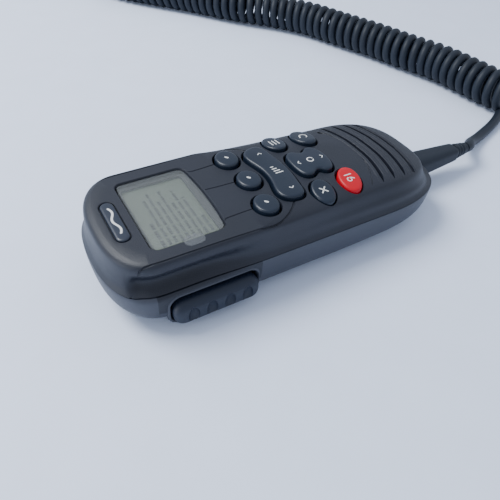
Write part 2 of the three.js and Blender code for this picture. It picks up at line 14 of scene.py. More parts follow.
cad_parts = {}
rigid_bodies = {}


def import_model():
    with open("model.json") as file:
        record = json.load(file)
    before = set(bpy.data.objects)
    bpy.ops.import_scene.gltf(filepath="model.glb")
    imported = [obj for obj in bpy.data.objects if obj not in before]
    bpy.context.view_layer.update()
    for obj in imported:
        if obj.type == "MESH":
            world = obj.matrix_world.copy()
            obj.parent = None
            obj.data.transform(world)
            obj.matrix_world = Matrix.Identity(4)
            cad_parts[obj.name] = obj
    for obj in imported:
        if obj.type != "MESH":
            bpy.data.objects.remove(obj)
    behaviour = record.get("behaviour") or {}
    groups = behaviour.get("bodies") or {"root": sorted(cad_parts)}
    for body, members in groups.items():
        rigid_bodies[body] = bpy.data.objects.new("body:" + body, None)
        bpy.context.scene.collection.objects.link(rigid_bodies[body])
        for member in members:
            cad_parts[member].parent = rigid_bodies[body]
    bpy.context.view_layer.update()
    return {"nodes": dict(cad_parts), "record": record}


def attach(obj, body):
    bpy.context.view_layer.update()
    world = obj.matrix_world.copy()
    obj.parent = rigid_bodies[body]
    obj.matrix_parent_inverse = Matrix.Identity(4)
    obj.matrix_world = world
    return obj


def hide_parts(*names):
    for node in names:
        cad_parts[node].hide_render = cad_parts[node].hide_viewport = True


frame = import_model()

MM = 0.001
SCENE = bpy.context.scene

# ---------------------------------------------------------------- camera


def add_camera(azimuth, elevation, roll, place):
    """Camera at `place` whose level view direction is turned from +Y by azimuth."""
    a, e, r = (math.radians(v) for v in (azimuth, elevation, roll))
    right = Vector((math.cos(a), math.sin(a), 0))
    back = Vector((math.sin(a) * math.cos(e), -math.cos(a) * math.cos(e), math.sin(e)))
    up = back.cross(right)
    rolled_right = right * math.cos(r) + up * math.sin(r)
    rolled_up = up * math.cos(r) - right * math.sin(r)
    data = bpy.data.cameras.new("camera")
    data.lens = 36
    data.sensor_width = 36
    data.clip_start = 0.01
    camera = bpy.data.objects.new("camera", data)
    SCENE.collection.objects.link(camera)
    turn = Matrix((rolled_right, rolled_up, back)).transposed().to_4x4()
    camera.matrix_world = Matrix.Translation(place) @ turn
    SCENE.camera = camera


add_camera(-32.597, 44.326, 4.159, (-0.1025, -0.1527, 0.1690))

# ---------------------------------------------------------------- materials


def principled(name, color, roughness, **sockets):
    """A node material with its base colour, roughness and other constant sockets set."""
    material = bpy.data.materials.new(name)
    material.use_nodes = True
    shader = material.node_tree.nodes["Principled BSDF"]
    shader.inputs["Base Color"].default_value = (*color, 1)
    shader.inputs["Roughness"].default_value = roughness
    for key, value in sockets.items():
        shader.inputs[key.replace("_", " ")].default_value = value
    return material


def node(material, kind, **values):
    made = material.node_tree.nodes.new(kind)
    for key, value in values.items():
        if hasattr(made, key):
            setattr(made, key, value)
        else:
            made.inputs[key.replace("_", " ")].default_value = value
    return made


def link(material, source, target):
    material.node_tree.links.new(source, target)


def mottled(name, color, roughness, grain=900, bump=0.1, spread=0.12, **sockets):
    """Moulded surface: fine grain in the bump, slow drift in colour and roughness."""
    material = principled(name, color, roughness, **sockets)
    shader = material.node_tree.nodes["Principled BSDF"]
    place = node(material, "ShaderNodeTexCoord")
    fine = node(material, "ShaderNodeTexNoise", Scale=grain, Detail=3)
    slow = node(material, "ShaderNodeTexNoise", Scale=38, Detail=4)
    link(material, place.outputs["Object"], fine.inputs["Vector"])
    link(material, place.outputs["Object"], slow.inputs["Vector"])
    ramp = node(material, "ShaderNodeValToRGB")
    ramp.color_ramp.elements[0].position = 0.3
    ramp.color_ramp.elements[1].position = 0.72
    ramp.color_ramp.elements[0].color = (*(c * (1 - spread) for c in color), 1)
    ramp.color_ramp.elements[1].color = (*(min(1, c * (1 + spread)) for c in color), 1)
    link(material, slow.outputs["Fac"], ramp.inputs["Fac"])
    link(material, ramp.outputs["Color"], shader.inputs["Base Color"])
    rough = node(material, "ShaderNodeMapRange")
    rough.inputs["To Min"].default_value = max(0.02, roughness - 0.07)
    rough.inputs["To Max"].default_value = min(1, roughness + 0.07)
    link(material, fine.outputs["Fac"], rough.inputs["Value"])
    link(material, rough.outputs["Result"], shader.inputs["Roughness"])
    raised = node(material, "ShaderNodeBump", Strength=bump, Distance=0.0004)
    link(material, fine.outputs["Fac"], raised.inputs["Height"])
    link(material, raised.outputs["Normal"], shader.inputs["Normal"])
    return material


def glazed(name, color, roughness, alpha):
    """Thin clear plastic with faint smears in its gloss."""
    material = principled(name, color, roughness, Alpha=alpha, Specular_IOR_Level=0.25)
    shader = material.node_tree.nodes["Principled BSDF"]
    place = node(material, "ShaderNodeTexCoord")
    smears = node(material, "ShaderNodeTexNoise", Scale=160, Detail=5)
    link(material, place.outputs["Object"], smears.inputs["Vector"])
    gloss = node(material, "ShaderNodeMapRange")
    gloss.inputs["To Min"].default_value = roughness * 0.6
    gloss.inputs["To Max"].default_value = roughness * 1.5
    link(material, smears.outputs["Fac"], gloss.inputs["Value"])
    link(material, gloss.outputs["Result"], shader.inputs["Roughness"])
    tint = node(material, "ShaderNodeValToRGB")
    tint.color_ramp.elements[0].color = (*(c * 0.9 for c in color), 1)
    tint.color_ramp.elements[1].color = (*color, 1)
    link(material, smears.outputs["Fac"], tint.inputs["Fac"])
    link(material, tint.outputs["Color"], shader.inputs["Base Color"])
    return material


MATERIALS = {
    "case": mottled("case_plastic", (0.011, 0.0135, 0.0225), 0.43, grain=2600, bump=0.3,
                    Specular_IOR_Level=0.4),
    # Same plastic as the case, painted lighter: painted light for the glow the bright floor throws
    # onto the lower half.
    "rear_case": mottled("rear_plastic_painted_light", (0.034, 0.039, 0.056), 0.46, grain=2600, bump=0.3),
    "rubber": mottled("black_silicone", (0.008, 0.009, 0.012), 0.7),
    "window": glazed("window_plastic", (0.75, 0.8, 0.78), 0.12, 0.02),
    "film": glazed("clear_film", (0.8, 0.85, 0.87), 0.25, 0.045),
    "lcd": mottled("lcd_glass", (0.06, 0.077, 0.053), 0.5, grain=300, bump=0.0, spread=0.07),
    "light_guide": mottled("white_moulding", (0.7, 0.7, 0.68), 0.45),
    "badge": mottled("badge_inlay", (0.016, 0.022, 0.038), 0.32, bump=0.03),
    "key": mottled("key_tops", (0.007, 0.0135, 0.027), 0.36, grain=2600, bump=0.06,
                   Specular_IOR_Level=0.42),
    "red_key": mottled("red_key_top", (0.5, 0.002, 0.012), 0.38, grain=2600, bump=0.05,
                       spread=0.06, Specular_IOR_Level=0.3),
    "board": mottled("green_board", (0.02, 0.11, 0.045), 0.4),
    "steel": mottled("plain_steel", (0.55, 0.56, 0.58), 0.32, Metallic=1.0, bump=0.03),
    "cloth": mottled("acoustic_cloth", (0.012, 0.012, 0.014), 0.9, grain=1500, bump=0.5),
    "ptt_rubber": mottled("navy_rubber", (0.004, 0.0095, 0.025), 0.5, grain=2000, bump=0.12),
    "cord_rubber": mottled("cord_jacket", (0.006, 0.0105, 0.0195), 0.55, grain=1500, bump=0.1,
                           Specular_IOR_Level=0.35),
    "plug_plastic": mottled("plug_plastic", (0.01, 0.011, 0.014), 0.5),
    "plug_metal": mottled("plug_nickel", (0.5, 0.51, 0.52), 0.28, Metallic=1.0, bump=0.04),
    "brass": mottled("contact_brass", (0.72, 0.5, 0.17), 0.25, Metallic=1.0, bump=0.02),
}
SLOT_OF = {s["node"]: s["material_slot"] for s in frame["record"]["subparts"]}
for name, cad in frame["nodes"].items():
    cad.data.materials.clear()
    cad.data.materials.append(MATERIALS[SLOT_OF[name]])

# ---------------------------------------------------------------- mesh helpers


def piece(name, mesh_or_curve, slot, body="handset", replaces=()):
    """Link a piece, give it its slot's finish and let it ride on a body."""
    made = bpy.data.objects.new(name, mesh_or_curve)
    SCENE.collection.objects.link(made)
    made.data.materials.append(MATERIALS[slot])
    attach(made, body)
    if replaces:
        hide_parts(*replaces)
    return made


# ---------------------------------------------------------------- cord

CORD_D = 6.2
COIL_D = 26.5
COIL_Z = COIL_D / 2 + 0.1
LEAD_ROUTE = [
    (139.9, 0, 12.7),
    (143.5, 0.6, 12.3),
    (148.5, 3.3, 10.6),
    (153.5, 6.8, 8.3),
    (159, 9.5, 6.2),
    (165, 11.8, 4.7),
    (171, 13.9, 3.8),
    (177, 16, 3.4),
    (183, 18, 3.2),
    (189, 20, 3.2),
    (195, 22.3, 3.2),
    (201, 24.9, 3.2),
    (206.5, 27.6, 3.2),
    (211.6, 30.2, 3.2),
    (215.5, 31.6, 3.2),
    (219.5, 32, 3.2),
]
COIL_ROUTE = [
    (219.2, 35.6),
    (216.8, 47),
    (215.3, 63.5),
    (211.5, 92.6),
    (202.2, 119.3),
    (192.8, 148.3),
    (180.9, 177.1),
    (168, 207.4),
    (149.5, 232.2),
    (128.2, 253.5),
    (97.8, 292.4),
    (71.1, 322.4),
    (52, 347),
    (42, 373),
    (48, 398),
    (69, 414),
    (96, 417),
]
TAIL_ROUTE = [
    (96.6, 417, 3.2),
    (104, 417, 3.2),
    (112, 416.6, 3.2),
    (120, 415.8, 3.2),
    (128, 414.6, 3.2),
    (136, 413, 3.2),
    (144, 411.2, 3.3),
    (151, 409.6, 4),
    (158, 408.2, 5.3),
    (165, 407, 7.2),
    (171, 406.3, 8.9),
    (177, 406, 10.1),
    (184, 406, 10.5),
]


def smooth_route(points, step):
    """Centripetal Catmull-Rom line through points, resampled at an even step."""
    points = [Vector(p) for p in points]
    ends = [points[0] * 2 - points[1], *points, points[-1] * 2 - points[-2]]
    dense = []
    for p0, p1, p2, p3 in zip(ends, ends[1:], ends[2:], ends[3:]):
        t0, t1 = 0, (p1 - p0).length ** 0.5
        t2 = t1 + (p2 - p1).length ** 0.5
        t3 = t2 + (p3 - p2).length ** 0.5
        for i in range(24):
            t = t1 + (t2 - t1) * i / 24
            a1 = p0.lerp(p1, (t - t0) / (t1 - t0))
            a2 = p1.lerp(p2, (t - t1) / (t2 - t1))
            a3 = p2.lerp(p3, (t - t2) / (t3 - t2))
            b1 = a1.lerp(a2, (t - t0) / (t2 - t0))
            b2 = a2.lerp(a3, (t - t1) / (t3 - t1))
            dense.append(b1.lerp(b2, (t - t1) / (t2 - t1)))
    dense.append(points[-1])
    even = [dense[0]]
    walked = 0
    for a, b in zip(dense, dense[1:]):
        length = (b - a).length
        while walked + length >= step * len(even):
            even.append(a.lerp(b, (step * len(even) - walked) / length))
        walked += length
    if (even[-1] - dense[-1]).length < step * 0.4:
        even.pop()
    even.append(dense[-1])
    return even


def length_of(points):
    return sum((b - a).length for a, b in zip(points, points[1:]))


def cord_curve(name, points, diameter, replaces):
    """A round cord as a curve of one open spline, from points in millimetres."""
    curve = bpy.data.curves.new(name, "CURVE")
    curve.dimensions = "3D"
    curve.bevel_depth = diameter / 2 * MM
    curve.bevel_resolution = 4
    curve.use_fill_caps = True
    spline = curve.splines.new("POLY")
    spline.points.add(len(points) - 1)
    for made, p in zip(spline.points, points):
        made.co = (*(Vector(p) * MM), 1)
    spline.use_smooth = True
    return piece(name, curve, "cord_rubber", replaces=replaces)


PITCH = 7.3
POINTS_PER_TURN = 20


def helix(route):
    """Turns about a route in the floor plane, starting and ending at its lowest line."""
    axis = smooth_route([(*p, COIL_Z) for p in route], 1)
    reach = length_of(axis)
    turns = round(reach / PITCH)
    radius = (COIL_D - CORD_D) / 2
    count = turns * POINTS_PER_TURN
    points = []
    for i in range(count + 1):
        along = i / count * (len(axis) - 1)
        k = min(int(along), len(axis) - 2)
        centre = axis[k].lerp(axis[k + 1], along - k)
        ahead = (axis[min(k + 2, len(axis) - 1)] - axis[max(k - 1, 0)]).normalized()
        side = ahead.cross(Vector((0, 0, 1)))
        t = i / POINTS_PER_TURN * 2 * math.pi
        points.append(centre - radius * (side * math.sin(t) + Vector((0, 0, 1)) * math.cos(t)))
    return points


lead_line = smooth_route(LEAD_ROUTE, 1.5)
lead = cord_curve("lead", lead_line, CORD_D, ["lead_cord"])
coil_line = helix(COIL_ROUTE)
coil = cord_curve("coil", coil_line, CORD_D, ["curly_cord"])
tail_line = smooth_route(TAIL_ROUTE, 1.5)
tail = cord_curve("tail", tail_line, CORD_D, ["tail_cord"])


# ---------------------------------------------------------------- case outline

HALF_WIDTH = 33
DISPLAY_END_X = -82
CORD_END_X = 93
DISPLAY_BEND_X = -60
CORD_BEND_X = 46
DISPLAY_POWER = 2.5
CORD_POWER = 2.95
FRONT_START = 21
REAR_START = 20.4
WALL = 2.2
FRONT_PROFILE = [(0, 0), (0.08, 0.7), (0.2, 1.5), (0.45, 2.2), (0.75, 2.6), (0.87, 3),
                 (0.95, 4.2), (1, 6.4)]
REAR_PROFILE = [(0, 0.2), (0.12, 0), (0.5, 0.5), (0.68, 1.6), (0.82, 3.8), (0.93, 6.6), (1, 10)]
# How each half draws in with its inset: `slope` times as much at the cord end, up to
# `edge`; `side` is the width lost there, `shoulder` the flanks' further draw-in past an
# inset of 2 mm at the display end and at the cord end.
FRONT_SHAPE = {"edge": 6.4, "slope": 2.9, "side": 0, "shoulder": (-0.7, 4)}
REAR_SHAPE = {"edge": 8, "slope": 1.8, "side": 0.9, "shoulder": (0, 0)}


def face_z(x):
    return 36.2 - 7.2 * (max(0, x - 45) / 53) ** 1.8


def back_z(x):
    return 5 * (max(0, x - 20) / 78) ** 1.6 + 6 * (max(0, -50 - x) / 32) ** 1.6


def deeper(inset, shape):
    """Share of an outline that is left once it is drawn in past its edge."""
    return (HALF_WIDTH - max(inset, shape["edge"])) / (HALF_WIDTH - shape["edge"])


def half_width(inset, shape, shoulder):
    edge = min(inset, shape["edge"])
    return (HALF_WIDTH - edge - shoulder * max(0, edge - 2)) * deeper(inset, shape)


def end_reach(inset, shape, cord_end):
    edge = min(inset, shape["edge"])
    if cord_end:
        return (CORD_END_X - CORD_BEND_X - edge * shape["slope"]) * deeper(inset, shape)
    return (DISPLAY_BEND_X - DISPLAY_END_X - edge) * deeper(inset, shape)


def flank_half_width(x, inset, shape):
    """Half width along the straight flanks, where the shoulder grows from x = -20 on."""
    at_display, at_cord = shape["shoulder"]
    if x < 10:
        towards_cord = 0.5 * max(0, x + 20) / 30
    else:
        towards_cord = 0.5 + 0.5 * (x - 10) / 36
    return half_width(inset, shape, at_display + (at_cord - at_display) * towards_cord)


def end_half_width(c2, inset, shape, cord_end):
    """Half width of an end's curve before its rounding, at squared cosine c2."""
    if cord_end:
        return half_width(inset, shape, shape["shoulder"][1]) - shape["side"] * min(inset, 8) * c2
    return half_width(inset, shape, shape["shoulder"][0] * (1 - c2))


def inside_of(length, wall):
    """A length taken in by the wall, but never through the middle."""
    return length - wall * min(1, length / 8)


def end_point(t, inset, shape, wall):
    """Point of an end's curve at angle t."""
    c, s = math.cos(t), math.sin(t)
    cord_end = c >= 0
    power = 2 / (CORD_POWER if cord_end else DISPLAY_POWER)
    reach = inside_of(end_reach(inset, shape, cord_end), wall)
    half = inside_of(end_half_width(c * c, inset, shape, cord_end), wall)
    x = (CORD_BEND_X if cord_end else DISPLAY_BEND_X) + math.copysign(reach * abs(c) ** power, c)
    return x, math.copysign(half * abs(s) ** power, s)


def half_width_at(x, inset):
    """Half width of the front cover's outline at station x, or 0 beyond its end."""
    if DISPLAY_BEND_X <= x <= CORD_BEND_X:
        return flank_half_width(x, inset, FRONT_SHAPE)
    cord_end = x > CORD_BEND_X
    power = CORD_POWER if cord_end else DISPLAY_POWER
    bend = CORD_BEND_X if cord_end else DISPLAY_BEND_X
    along = abs(x - bend) / max(end_reach(inset, FRONT_SHAPE, cord_end), 0.01)
    if along >= 1:
        return 0
    c2 = along ** power
    return end_half_width(c2, inset, FRONT_SHAPE, cord_end) * (1 - c2) ** (1 / power)


def inset_at(x, y):
    """How far in from the outline a point of the plan lies."""
    low, high = 0, 30
    for _ in range(24):
        mid = (low + high) / 2
        low, high = (mid, high) if half_width_at(x, mid) > abs(y) else (low, mid)
    return low


def skin_z(x, y):
    """Height of the front cover's outside over a point of the plan."""
    inset = inset_at(x, y)
    fraction = 1
    for (f0, d0), (f1, d1) in zip(FRONT_PROFILE, FRONT_PROFILE[1:]):
        if d0 <= inset < d1:
            fraction = f0 + (f1 - f0) * (inset - d0) / (d1 - d0)
    return FRONT_START + fraction * (face_z(x) - FRONT_START)


def ease(v, low, high):
    """Smooth step from 0 at low to 1 at high."""
    u = min(1, max(0, (v - low) / (high - low)))
    return u * u * (3 - 2 * u)


def scoop(x, y, z):
    """How far the near flank is hollowed above the push-to-talk pad."""
    if y > -10:
        return 0
    along = ease(x, -75.5, -70) * (1 - ease(x, -48, -14))
    return 4.4 * along * ease(z, 18.5, 25) * (1 - ease(z, 25.5, 32.6))


def ring(inset, shape, wall, end_points=60, flank_points=44):
    """The outline as (x, y) points, mirrored about y = 0 in reverse order."""
    count = end_points // 2
    cord_end = [(i + 0.5) / count * math.pi / 2 for i in range(count)]
    half = [end_point(t, inset, shape, wall) for t in cord_end]
    step = (CORD_BEND_X - DISPLAY_BEND_X) / flank_points
    for i in range(flank_points + 1):
        x = CORD_BEND_X - i * step
        half.append((x, inside_of(flank_half_width(x, inset, shape), wall)))
    half += [end_point(math.pi / 2 + t, inset, shape, wall) for t in cord_end]
    return half + [(x, -y) for x, y in reversed(half)]


def finer(profile, per_span):
    """The side profile through more points, kept smooth."""
    line = []
    ends = [profile[0], *profile, profile[-1]]
    for p0, p1, p2, p3 in zip(ends, ends[1:], ends[2:], ends[3:]):
        for i in range(per_span):
            u = i / per_span
            line.append(tuple(
                0.5 * (2 * b + (c - a) * u + (2 * a - 5 * b + 4 * c - d) * u * u
                       + (3 * b - a - 3 * c + d) * u ** 3)
                for a, b, c, d in zip(p0, p1, p2, p3)))
    line.append(profile[-1])
    return line


# ---------------------------------------------------------------- solids from rings


def add_rings(bm, rings):
    """Faces between equal rings of points; the ends stay open."""
    made = [[bm.verts.new(p) for p in points] for points in rings]
    n = len(made[0])
    for low, high in zip(made, made[1:]):
        for i in range(n):
            j = (i + 1) % n
            bm.faces.new((low[i], low[j], high[j], high[i]))
    return made


def close_across(bm, verts):
    """Cap a ring that is symmetric about y = 0 with strips from side to side."""
    n = len(verts)
    for i in range(n // 2 - 1):
        bm.faces.new((verts[i], verts[i + 1], verts[n - 2 - i], verts[n - 1 - i]))


def mesh_of(bm, name, smooth_angle=40):
    bmesh.ops.recalc_face_normals(bm, faces=bm.faces)
    mesh = bpy.data.meshes.new(name)
    bm.transform(Matrix.Scale(MM, 4))
    bm.to_mesh(mesh)
    bm.free()
    mesh.polygons.foreach_set("use_smooth", [True] * len(mesh.polygons))
    mesh.set_sharp_from_angle(angle=math.radians(smooth_angle))
    return mesh


def lofted(name, rings, smooth_angle=40):
    """Closed solid through a list of equal rings."""
    bm = bmesh.new()
    made = add_rings(bm, rings)
    caps = [bm.faces.new(made[0]), bm.faces.new(made[-1])]
    bmesh.ops.triangulate(bm, faces=caps)
    return mesh_of(bm, name, smooth_angle)


def case_half(profile, shape, start, end, deep_insets, wall=0):
    """One half of the case, drawn in by `wall` all round."""
    rings = []
    for f, inset in finer(profile, 4) + [(1, d) for d in deep_insets]:
        points = []
        for x, y in ring(inset, shape, wall):
            z = start + f * (end(x) - start)
            points.append((x, y + scoop(x, y, z), z))
        rings.append(points)
    bm = bmesh.new()
    made = add_rings(bm, rings)
    close_across(bm, made[0])
    close_across(bm, made[-1])
    return mesh_of(bm, "case_half")


def cut_away(mesh, cutters, name):
    """The mesh with every cutter mesh taken away."""
    body = bpy.data.objects.new(name, mesh)
    SCENE.collection.objects.link(body)
    group = bpy.data.collections.new(name + "_cutters")
    SCENE.collection.children.link(group)
    for cutter in cutters:
        group.objects.link(bpy.data.objects.new(name + "_cutter", cutter))
    cut = body.modifiers.new("cut", "BOOLEAN")
    cut.operation = "DIFFERENCE"
    cut.operand_type = "COLLECTION"
    cut.collection = group
    cut.solver = "EXACT"
    bpy.context.view_layer.update()
    done = bpy.data.meshes.new_from_object(
        body.evaluated_get(bpy.context.evaluated_depsgraph_get()))
    for gone in [body, *group.objects]:
        bpy.data.objects.remove(gone)
    bpy.data.collections.remove(group)
    done.name = name
    done.materials.clear()
    done.polygons.foreach_set("use_smooth", [True] * len(done.polygons))
    done.set_sharp_from_angle(angle=math.radians(32))
    return done


# ---------------------------------------------------------------- outlines in plan


def bezier_outline(start, curves, per_curve=12):
    points = []
    p0 = Vector(start)
    for x1, y1, x2, y2, x3, y3 in curves:
        p1, p2, p3 = Vector((x1, y1)), Vector((x2, y2)), Vector((x3, y3))
        for i in range(per_curve):
            u = i / per_curve
            v = 1 - u
            points.append(v ** 3 * p0 + 3 * v * v * u * p1 + 3 * v * u * u * p2 + u ** 3 * p3)
        p0 = p3
    return points


def ellipse(cx, cy, rx, ry, turn=0, count=56):
    points = []
    for i in range(count):
        t = i / count * 2 * math.pi
        x, y = rx * math.cos(t), ry * math.sin(t)
        points.append(Vector((cx + x * math.cos(turn) - y * math.sin(turn),
                              cy + x * math.sin(turn) + y * math.cos(turn))))
    return points


def rounded_box(cx, cy, length, width, corner, bulge=0.0, per_corner=9, per_side=10):
    """Rounded rectangle; its +X side can bulge outwards."""
    points = []
    hx, hy = length / 2 - corner, width / 2 - corner
    for qx, qy, start in ((1, 1, 0), (-1, 1, 90), (-1, -1, 180), (1, -1, 270)):
        for i in range(per_corner):
            t = math.radians(start + 90 * i / (per_corner - 1))
            points.append(Vector((cx + qx * hx + corner * math.cos(t),
                                  cy + qy * hy + corner * math.sin(t))))
    for i in range(1, per_side):
        points.append(Vector((cx + hx + corner, cy - hy + 2 * hy * i / per_side)))
    for p in points:
        if p.x > cx:
            p.x += bulge * (p.x - cx) / (length / 2) * (1 - ((p.y - cy) / (width / 2)) ** 2)
    return points


def grown(points, by):
    """The outline moved out along its own normals."""
    n = len(points)
    moved = []
    for i, p in enumerate(points):
        along = (points[(i + 1) % n] - points[i - 1]).normalized()
        moved.append(p + by * Vector((along.y, -along.x)))
    return moved


def stacked(name, outline, levels, smooth_angle=40):
    """Solid whose section is the outline grown by `by` at each height: [(z, by), ...]."""
    return lofted(name, [[(*p, z) for p in grown(outline, by)] for z, by in levels],
                  smooth_angle)


DOG_BONE = bezier_outline((11.8, 0), [
    (11.8, 6, 11, 9, 10.4, 13),
    (10, 18, 9, 20.6, 5.6, 20.9),
    (0.6, 21, -1.8, 18, -1.9, 14.6),
    (-2, 10, 0.5, 7, 0.5, 0),
    (0.5, -7, -2, -10, -1.9, -14.2),
    (-1.8, -17.6, 0.6, -20.4, 5.6, -20.3),
    (9, -20, 10, -18, 10.4, -13),
    (11, -9, 11.8, -6, 11.8, 0),
])
HOURGLASS = bezier_outline((14.8, 0), [
    (14.8, -5, 15.5, -9.2, 19, -9.5),
    (21.6, -9.6, 22.4, -7.3, 24.4, -7.3),
    (26.2, -7.3, 26.4, -9.8, 29, -9.8),
    (32.4, -9.6, 33.9, -5, 33.9, 0),
    (33.9, 5, 32.4, 9.6, 29, 9.8),
    (26.4, 9.8, 26.2, 7.3, 24.4, 7.3),
    (22.4, 7.3, 21.6, 9.6, 19, 9.5),
    (15.5, 9.2, 14.8, 5, 14.8, 0),
])
KEYS = {
    "soft_key_right": (ellipse(-9.8, -17.9, 5.4, 6.4), "soft_key_right_body"),
    "soft_key_centre": (ellipse(-8.1, 0, 5.4, 6.4), "soft_key_centre_body"),
    "soft_key_left": (ellipse(-9.8, 17.9, 5.4, 6.4), "soft_key_left_body"),
    "menu_key": (ellipse(17.8, 21, 5.2, 7.2, 0.12), "menu_key_body"),
    "clear_key": (ellipse(17.8, -20.6, 5.2, 7.2, -0.12), "clear_key_body"),
    "scan_key": (ellipse(33.7, 19.4, 5.2, 7.7, 0.2), "scan_key_body"),
    "red_key": (ellipse(33.7, -18.8, 5.2, 7.7, -0.2), "red_key_body"),
    "volume_rocker": (DOG_BONE, "volume_body"),
    "channel_rocker": (HOURGLASS, "channel_body"),
}


def circle_section(radius, count=10):
    turn = 2 * math.pi / count
    return [(radius * math.cos(i * turn), radius * math.sin(i * turn)) for i in range(count)]


def swept(name, line, section, taper=0):
    """A (sideways, up) section carried along a line, fined down over `taper` at its ends."""
    rings = []
    last = len(line) - 1
    for i, p in enumerate(line):
        ahead = (line[min(i + 1, last)] - line[max(i - 1, 0)]).normalized()
        side = ahead.cross(Vector((0, 0, 1))).normalized()
        up = side.cross(ahead)
        size = math.sin(min(1, (min(i, last - i) + 0.4) / taper) * math.pi / 2) if taper else 1
        rings.append([p + size * (a * side + b * up) for a, b in section])
    return lofted(name, rings)


def box_mesh(low, high):
    (x0, y0, z0), (x1, y1, z1) = low, high
    return lofted("box", [[(x0, y0, z), (x1, y0, z), (x1, y1, z), (x0, y1, z)] for z in (z0, z1)])


# ---------------------------------------------------------------- push-to-talk outline

PTT_X = (-60.4, -21.6)
PTT_Z = (4.2, 15.6)
PTT_OPEN_TOP = 17.8


def ptt_ring(y, margin, top=None):
    """The pad's outline at station y, grown by a margin, with its top at `top`."""
    z0 = PTT_Z[0] - margin
    z1 = PTT_Z[1] + margin if top is None else top
    plan = rounded_box((PTT_X[0] + PTT_X[1]) / 2, (z0 + z1) / 2,
                       PTT_X[1] - PTT_X[0] + 2 * margin, z1 - z0,
                       min(5, (z1 - z0) / 2 - 0.1, 4.6 + margin))
    return [(p.x, y, p.y) for p in plan]


def pad_opening():
    """The hole that both covers leave round the pad, flared towards the outside."""
    return lofted("pad_opening", [
        ptt_ring(-60, 1.5, PTT_OPEN_TOP + 1.2),
        ptt_ring(-33, 1.1, PTT_OPEN_TOP + 0.8),
        ptt_ring(-31.6, 0.6, PTT_OPEN_TOP + 0.1),
        ptt_ring(-25, 0.5, PTT_OPEN_TOP),
    ])


# ---------------------------------------------------------------- covers

WINDOW = rounded_box(-46.5, 0, 31.4, 44.8, 3, bulge=1.6)
BADGE = rounded_box(-69.3, 0, 5.6, 25, 2.75)
SLOT_RADIUS = 73
SLOTS = ((53.4, 25.5), (60.2, 25.3), (67, 25))
SHALLOW_SLOT = (73.2, 24)
SLOT_SECTION = [(-0.8, -6), (0.8, -6), (0.8, -0.6), (1.3, 2), (-1, 2), (-0.8, -0.4)]
SHALLOW_SECTION = [(-0.9, -1.1), (0.9, -1.1), (1.4, 2), (-1.1, 2)]
# Half of the line along the edge of the face, from the display end to the soft keys.
FLANK_GROOVE = [(-77.6, 27.2), (-75.4, 27.6), (-72.6, 27.7), (-69, 28.2), (-64, 28.9),
                (-50, 29.1), (-33, 29.3), (-20, 29.6), (-13.4, 29.5), (-8.4, 28.6),
                (-4.2, 26.6), (-0.8, 24.1), (2.3, 21)]
# Lines that join the display to the soft keys.
KEY_LINES = [[(-30.4, 19), (-29.4, 17.7), (-24, 17.4), (-15, 18)],
             [(-28.2, 2.7), (-24, 2.4), (-20, 2.2), (-13, 2)],
             [(-30.4, -19.6), (-29.2, -18.2), (-24, -17.7), (-15, -17.4)]]
GRILLE_BORDER = [(45.8, 21.5), (49, 14.5), (50.9, 6), (51, -2), (49.4, -10.5), (46.2, -18.5),
                 (42.4, -25)]
SCREWS = ((-70, 17), (-70, -17), (58, 22), (58, -22))


def arc_line(x, half_span, count=44):
    """Points on the face along an arc that bulges towards the cord end."""
    reach = math.asin(half_span / SLOT_RADIUS)
    line = []
    for i in range(count + 1):
        t = -reach + 2 * reach * i / count
        px = x - SLOT_RADIUS + SLOT_RADIUS * math.cos(t)
        py = SLOT_RADIUS * math.sin(t)
        line.append(Vector((px, py, skin_z(px, py))))
    return line


def on_skin(points, step=0.8):
    """A smooth line on the front cover through points of the plan."""
    return [Vector((p.x, p.y, skin_z(p.x, p.y)))
            for p in smooth_route([(x, y, 0) for x, y in points], step)]


def front_cutters():
    cutters = [case_half(FRONT_PROFILE, FRONT_SHAPE, FRONT_START - 1, lambda x: face_z(x) - WALL,
                         (13, 21, 29), WALL)]
    for outline, _ in KEYS.values():
        cutters.append(stacked("key_well", grown(outline, 0.7),
                               [(29, 0), (34.9, 0), (35.6, 0.12), (36.05, 0.45), (41, 2.5)]))
    cutters.append(stacked("window_hole", WINDOW,
                           [(29, 0), (35.3, 0), (35.9, 0.2), (36.25, 0.55), (40, 1.5)]))
    cutters.append(stacked("badge_well", BADGE,
                           [(35.0, 0.45), (35.9, 0.5), (36.25, 0.9), (40, 2)]))
    cutters.append(pad_opening())
    cutters.append(box_mesh((86, -7.6, 0), (120, 7.6, 21.4)))
    for x, half_span in SLOTS:
        cutters.append(swept("slot", arc_line(x, half_span), SLOT_SECTION, taper=5))
    cutters.append(swept("slot", arc_line(*SHALLOW_SLOT), SHALLOW_SECTION))
    cutters.append(stacked("sound_port", ellipse(45.4, 20.4, 1.7, 0.8, -0.9, 24),
                           [(30, 0), (36, 0), (37, 0.3)]))
    groove = circle_section(0.5)
    for side in (1, -1):
        cutters.append(swept("groove", on_skin([(x, y * side) for x, y in FLANK_GROOVE]), groove))
    thin_groove = circle_section(0.34)
    for line in (*KEY_LINES, GRILLE_BORDER):
        cutters.append(swept("groove", on_skin(line), thin_groove))
    return cutters


def rear_cutters():
    cutters = [case_half(REAR_PROFILE, REAR_SHAPE, REAR_START + 1, lambda x: back_z(x) + WALL,
                         (17, 24, 30), WALL)]
    cutters.append(pad_opening())
    cutters.append(box_mesh((76, -7.6, 6.4), (120, 7.6, 19.1)))
    for x, y in SCREWS:
        floor = back_z(x) + 3.9
        cutters.append(stacked("screw_well", ellipse(x, y, 3.2, 3.2, count=32),
                               [(-5, 0.6), (floor - 3, 0.2), (floor, 0)]))
    cutters.append(stacked("stud_well", ellipse(46, 0, 11, 11, count=64),
                           [(-5, 1.6), (1.4, 0.2), (4.6, 0)]))
    return cutters


